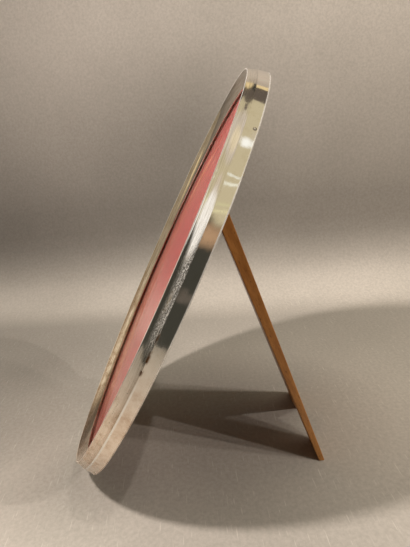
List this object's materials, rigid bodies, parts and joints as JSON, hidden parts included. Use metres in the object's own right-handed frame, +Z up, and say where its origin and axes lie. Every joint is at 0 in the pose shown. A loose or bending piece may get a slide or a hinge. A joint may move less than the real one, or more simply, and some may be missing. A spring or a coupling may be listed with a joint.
{
  "type": "oval table picture frame",
  "caption": "Oval table picture frame: bevelled silver moulding over a wooden ring, glass, plain card insert, mahogany back board and a hinged easel strut with a notched foot.",
  "frame": {"origin": "on the floor plane, at the middle of the standing frame's width and depth with the strut open", "axes": "+Z up, X across the width; the picture faces -Y and leans back towards +Y, and the strut stands on the +Y side"},
  "size_m": [0.2248, 0.1772, 0.2643],
  "materials": {
    "polished_silver": "polished silver, warm, finely scratched and lightly tarnished",
    "pin_silver": "worn silver pin heads",
    "ring_wood": "plain stained hardwood, unpolished",
    "clear_pane": "clear flat glass",
    "rose_card": "rose-red paper card, matt",
    "grey_card": "grey-brown pulp board, matt",
    "board_mahogany": "mahogany, waxed",
    "strut_mahogany": "mahogany, old shellac polish",
    "hinge_brass": "drawn brass, dulled",
    "hinge_pin_brass": "brass wire, dulled",
    "button_brass": "stamped brass, dulled",
    "screw_brass": "turned brass screw, dulled"
  },
  "bodies": {
    "frame": {"silver_rim": "polished_silver", "wood_ring": "ring_wood", "glass": "clear_pane", "insert_card": "rose_card", "backing_card": "grey_card", "back_board": "board_mahogany", "hinge_leaf_board": "hinge_brass", "hinge_pin": "hinge_pin_brass", "rim_pin_upper_right": "pin_silver", "rim_pin_top": "pin_silver", "rim_pin_upper_left": "pin_silver", "rim_pin_lower_left": "pin_silver", "rim_pin_bottom": "pin_silver", "rim_pin_lower_right": "pin_silver", "board_hinge_screw_left": "screw_brass", "board_hinge_screw_middle": "screw_brass", "board_hinge_screw_right": "screw_brass", "turn_button_screw_upper_right": "screw_brass", "turn_button_screw_upper_left": "screw_brass", "turn_button_screw_lower_left": "screw_brass", "turn_button_screw_lower_right": "screw_brass"},
    "strut": {"strut": "strut_mahogany", "hinge_leaf_strut": "hinge_brass", "strut_hinge_screw_left": "screw_brass", "strut_hinge_screw_middle": "screw_brass", "strut_hinge_screw_right": "screw_brass"},
    "turn_button_upper_right": {"turn_button_upper_right": "button_brass"},
    "turn_button_upper_left": {"turn_button_upper_left": "button_brass"},
    "turn_button_lower_left": {"turn_button_lower_left": "button_brass"},
    "turn_button_lower_right": {"turn_button_lower_right": "button_brass"}
  },
  "joints": [
    {"name": "strut_fold", "type": "hinge", "parent": "frame", "child": "strut", "pos_m": [0, 0.02573, 0.18166], "axis": [-1, 0, 0], "range_deg": [0, 47]},
    {"name": "button_turn_upper_right", "type": "hinge", "parent": "frame", "child": "turn_button_upper_right", "pos_m": [0.08689, 0.03659, 0.20552], "axis": [0, 0.8704, -0.4924], "range_deg": [-90, 90]},
    {"name": "button_turn_upper_left", "type": "hinge", "parent": "frame", "child": "turn_button_upper_left", "pos_m": [-0.08689, 0.03659, 0.20552], "axis": [0, 0.8704, -0.4924], "range_deg": [-90, 90]},
    {"name": "button_turn_lower_left", "type": "hinge", "parent": "frame", "child": "turn_button_lower_left", "pos_m": [-0.08689, -0.04802, 0.05596], "axis": [0, 0.8704, -0.4924], "range_deg": [-90, 90]},
    {"name": "button_turn_lower_right", "type": "hinge", "parent": "frame", "child": "turn_button_lower_right", "pos_m": [0.08689, -0.04802, 0.05596], "axis": [0, 0.8704, -0.4924], "range_deg": [-90, 90]}
  ]
}
